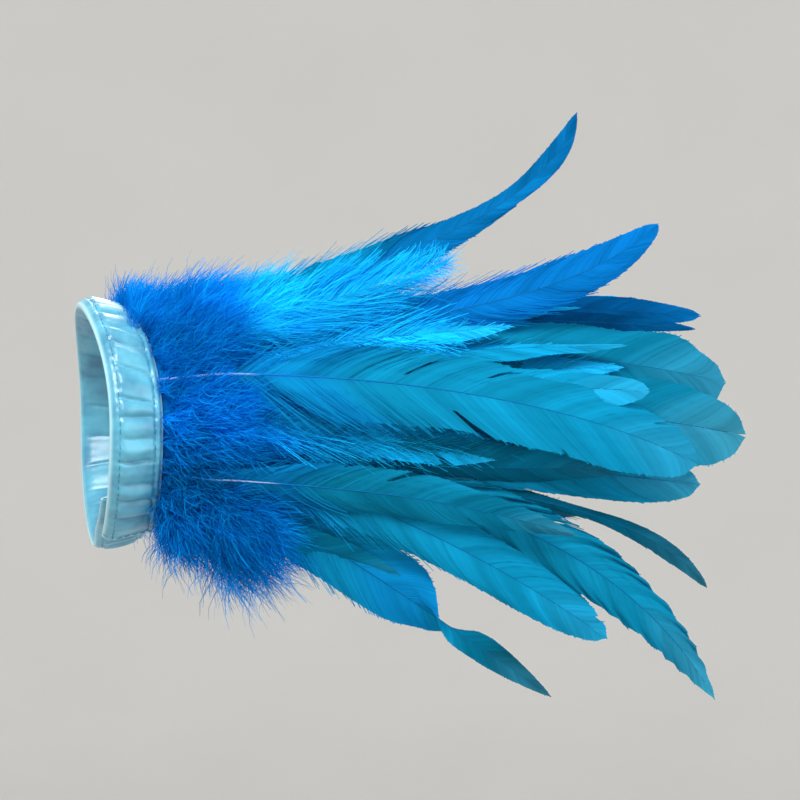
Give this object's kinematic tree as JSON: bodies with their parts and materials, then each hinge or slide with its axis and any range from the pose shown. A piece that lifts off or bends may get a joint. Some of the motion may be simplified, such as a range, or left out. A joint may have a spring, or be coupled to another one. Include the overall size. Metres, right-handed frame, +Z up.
{
  "type": "feather shoulder cuff",
  "caption": "Worn shoulder cuff: a folded satin ribbon goes round the top of the arm and holds a fan of dyed cock feathers that stand out sideways, with a ruff of down at their feet.",
  "frame": {"origin": "middle of the arm loop, halfway across the ribbon, where the top of the arm sits", "axes": "+X away from the neck along the feathers, -Y to the wearer's front, +Z up"},
  "size_m": [0.2222, 0.1749, 0.1984],
  "materials": {
    "satin": "pale sky-blue polyester satin, glossy along its folds",
    "snap": "smooth pale plastic",
    "feather": "dyed cock feather, royal blue at the foot to grey turquoise at the tip, with a soft sheen",
    "down": "fluffy royal-blue down, matt"
  },
  "bodies": {
    "root": {"satin_band": "satin", "snap_fastener": "snap", "feather_fringe": "feather", "down_collar": "down"}
  },
  "joints": []
}
